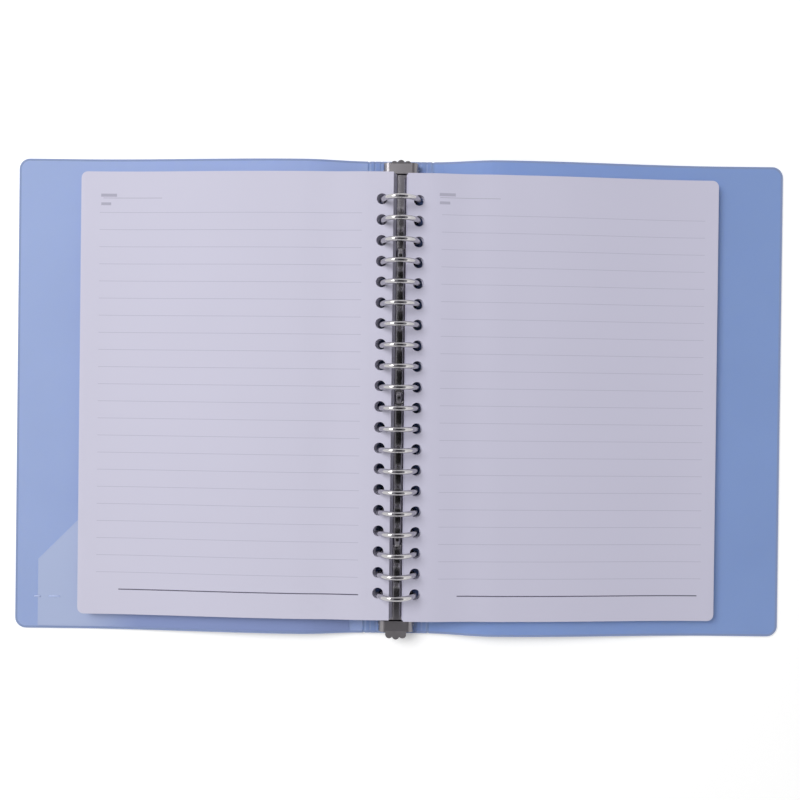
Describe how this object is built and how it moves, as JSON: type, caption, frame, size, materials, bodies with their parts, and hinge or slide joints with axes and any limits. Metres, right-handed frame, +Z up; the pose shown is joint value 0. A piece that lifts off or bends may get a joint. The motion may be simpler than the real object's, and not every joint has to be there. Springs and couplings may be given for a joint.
{
  "type": "ring binder notebook",
  "caption": "Loose-leaf notebook lying open: two ruled stacks of sheets on a row of small split rings, in a frosted plastic cover with thumb levers.",
  "frame": {"origin": "on the table under the middle of the spine", "axes": "+X from the front cover to the back cover across the open notebook, +Y along the spine to its head, +Z up"},
  "size_m": [0.36, 0.2228, 0.0217],
  "materials": {
    "cover_front": "frosted translucent",
    "cover_back": "frosted translucent",
    "pocket_film": "clear film",
    "sheets_left": "ruled, uncoated",
    "sheets_right": "ruled, uncoated",
    "plated_steel": "nickel plated",
    "ring_wire": "nickel plated, bright"
  },
  "bodies": {
    "spine": {"spine_panel": "cover_front", "housing": "plated_steel", "rivets": "plated_steel", "lever_pin_top": "plated_steel", "lever_pin_bottom": "plated_steel"},
    "front": {"front_cover": "cover_front", "inner_pocket": "pocket_film"},
    "back": {"back_cover": "cover_back"},
    "left_sheets": {"left_pages": "sheets_left"},
    "right_sheets": {"right_pages": "sheets_right"},
    "left_jaw": {"hinge_plate_left": "plated_steel", "ring_left_01": "ring_wire", "ring_left_02": "ring_wire", "ring_left_03": "ring_wire", "ring_left_04": "ring_wire", "ring_left_05": "ring_wire", "ring_left_06": "ring_wire", "ring_left_07": "ring_wire", "ring_left_08": "ring_wire", "ring_left_09": "ring_wire", "ring_left_10": "ring_wire", "ring_left_11": "ring_wire", "ring_left_12": "ring_wire", "ring_left_13": "ring_wire", "ring_left_14": "ring_wire", "ring_left_15": "ring_wire", "ring_left_16": "ring_wire", "ring_left_17": "ring_wire", "ring_left_18": "ring_wire", "ring_left_19": "ring_wire", "ring_left_20": "ring_wire"},
    "right_jaw": {"hinge_plate_right": "plated_steel", "ring_right_01": "ring_wire", "ring_right_02": "ring_wire", "ring_right_03": "ring_wire", "ring_right_04": "ring_wire", "ring_right_05": "ring_wire", "ring_right_06": "ring_wire", "ring_right_07": "ring_wire", "ring_right_08": "ring_wire", "ring_right_09": "ring_wire", "ring_right_10": "ring_wire", "ring_right_11": "ring_wire", "ring_right_12": "ring_wire", "ring_right_13": "ring_wire", "ring_right_14": "ring_wire", "ring_right_15": "ring_wire", "ring_right_16": "ring_wire", "ring_right_17": "ring_wire", "ring_right_18": "ring_wire", "ring_right_19": "ring_wire", "ring_right_20": "ring_wire"},
    "top_lever": {"lever_top": "plated_steel"},
    "bottom_lever": {"lever_bottom": "plated_steel"}
  },
  "joints": [
    {"name": "left_turn", "type": "hinge", "parent": "spine", "child": "left_sheets", "pos_m": [0, 0, 0.0125], "axis": [0, 1, 0], "range_deg": [0, 90]},
    {"name": "right_turn", "type": "hinge", "parent": "spine", "child": "right_sheets", "pos_m": [0, 0, 0.0125], "axis": [0, -1, 0], "range_deg": [0, 90]},
    {"name": "front_hinge", "type": "hinge", "parent": "spine", "child": "front", "pos_m": [-0.015, 0, 0.002], "axis": [0, 1, 0], "range_deg": [0, 90]},
    {"name": "back_hinge", "type": "hinge", "parent": "spine", "child": "back", "pos_m": [0.015, 0, 0.002], "axis": [0, -1, 0], "range_deg": [0, 90]},
    {"name": "left_jaw_hinge", "type": "hinge", "parent": "spine", "child": "left_jaw", "pos_m": [-0.00575, 0, 0.00365], "axis": [0, -1, 0], "range_deg": [0, 8]},
    {"name": "right_jaw_hinge", "type": "hinge", "parent": "spine", "child": "right_jaw", "pos_m": [0.00575, 0, 0.00365], "axis": [0, 1, 0], "range_deg": [0, 8]},
    {"name": "top_lever_hinge", "type": "hinge", "parent": "spine", "child": "top_lever", "pos_m": [0, 0.10548, 0.0044], "axis": [-1, 0, 0], "range_deg": [0, 16]},
    {"name": "bottom_lever_hinge", "type": "hinge", "parent": "spine", "child": "bottom_lever", "pos_m": [0, -0.10548, 0.0044], "axis": [1, 0, 0], "range_deg": [0, 16]}
  ],
  "couplings": [
    {"joint": "front_hinge", "follows": "left_turn", "ratio": 1},
    {"joint": "back_hinge", "follows": "right_turn", "ratio": 1},
    {"joint": "right_jaw_hinge", "follows": "left_jaw_hinge", "ratio": 1},
    {"joint": "top_lever_hinge", "follows": "left_jaw_hinge", "ratio": 2},
    {"joint": "bottom_lever_hinge", "follows": "left_jaw_hinge", "ratio": 2}
  ]
}
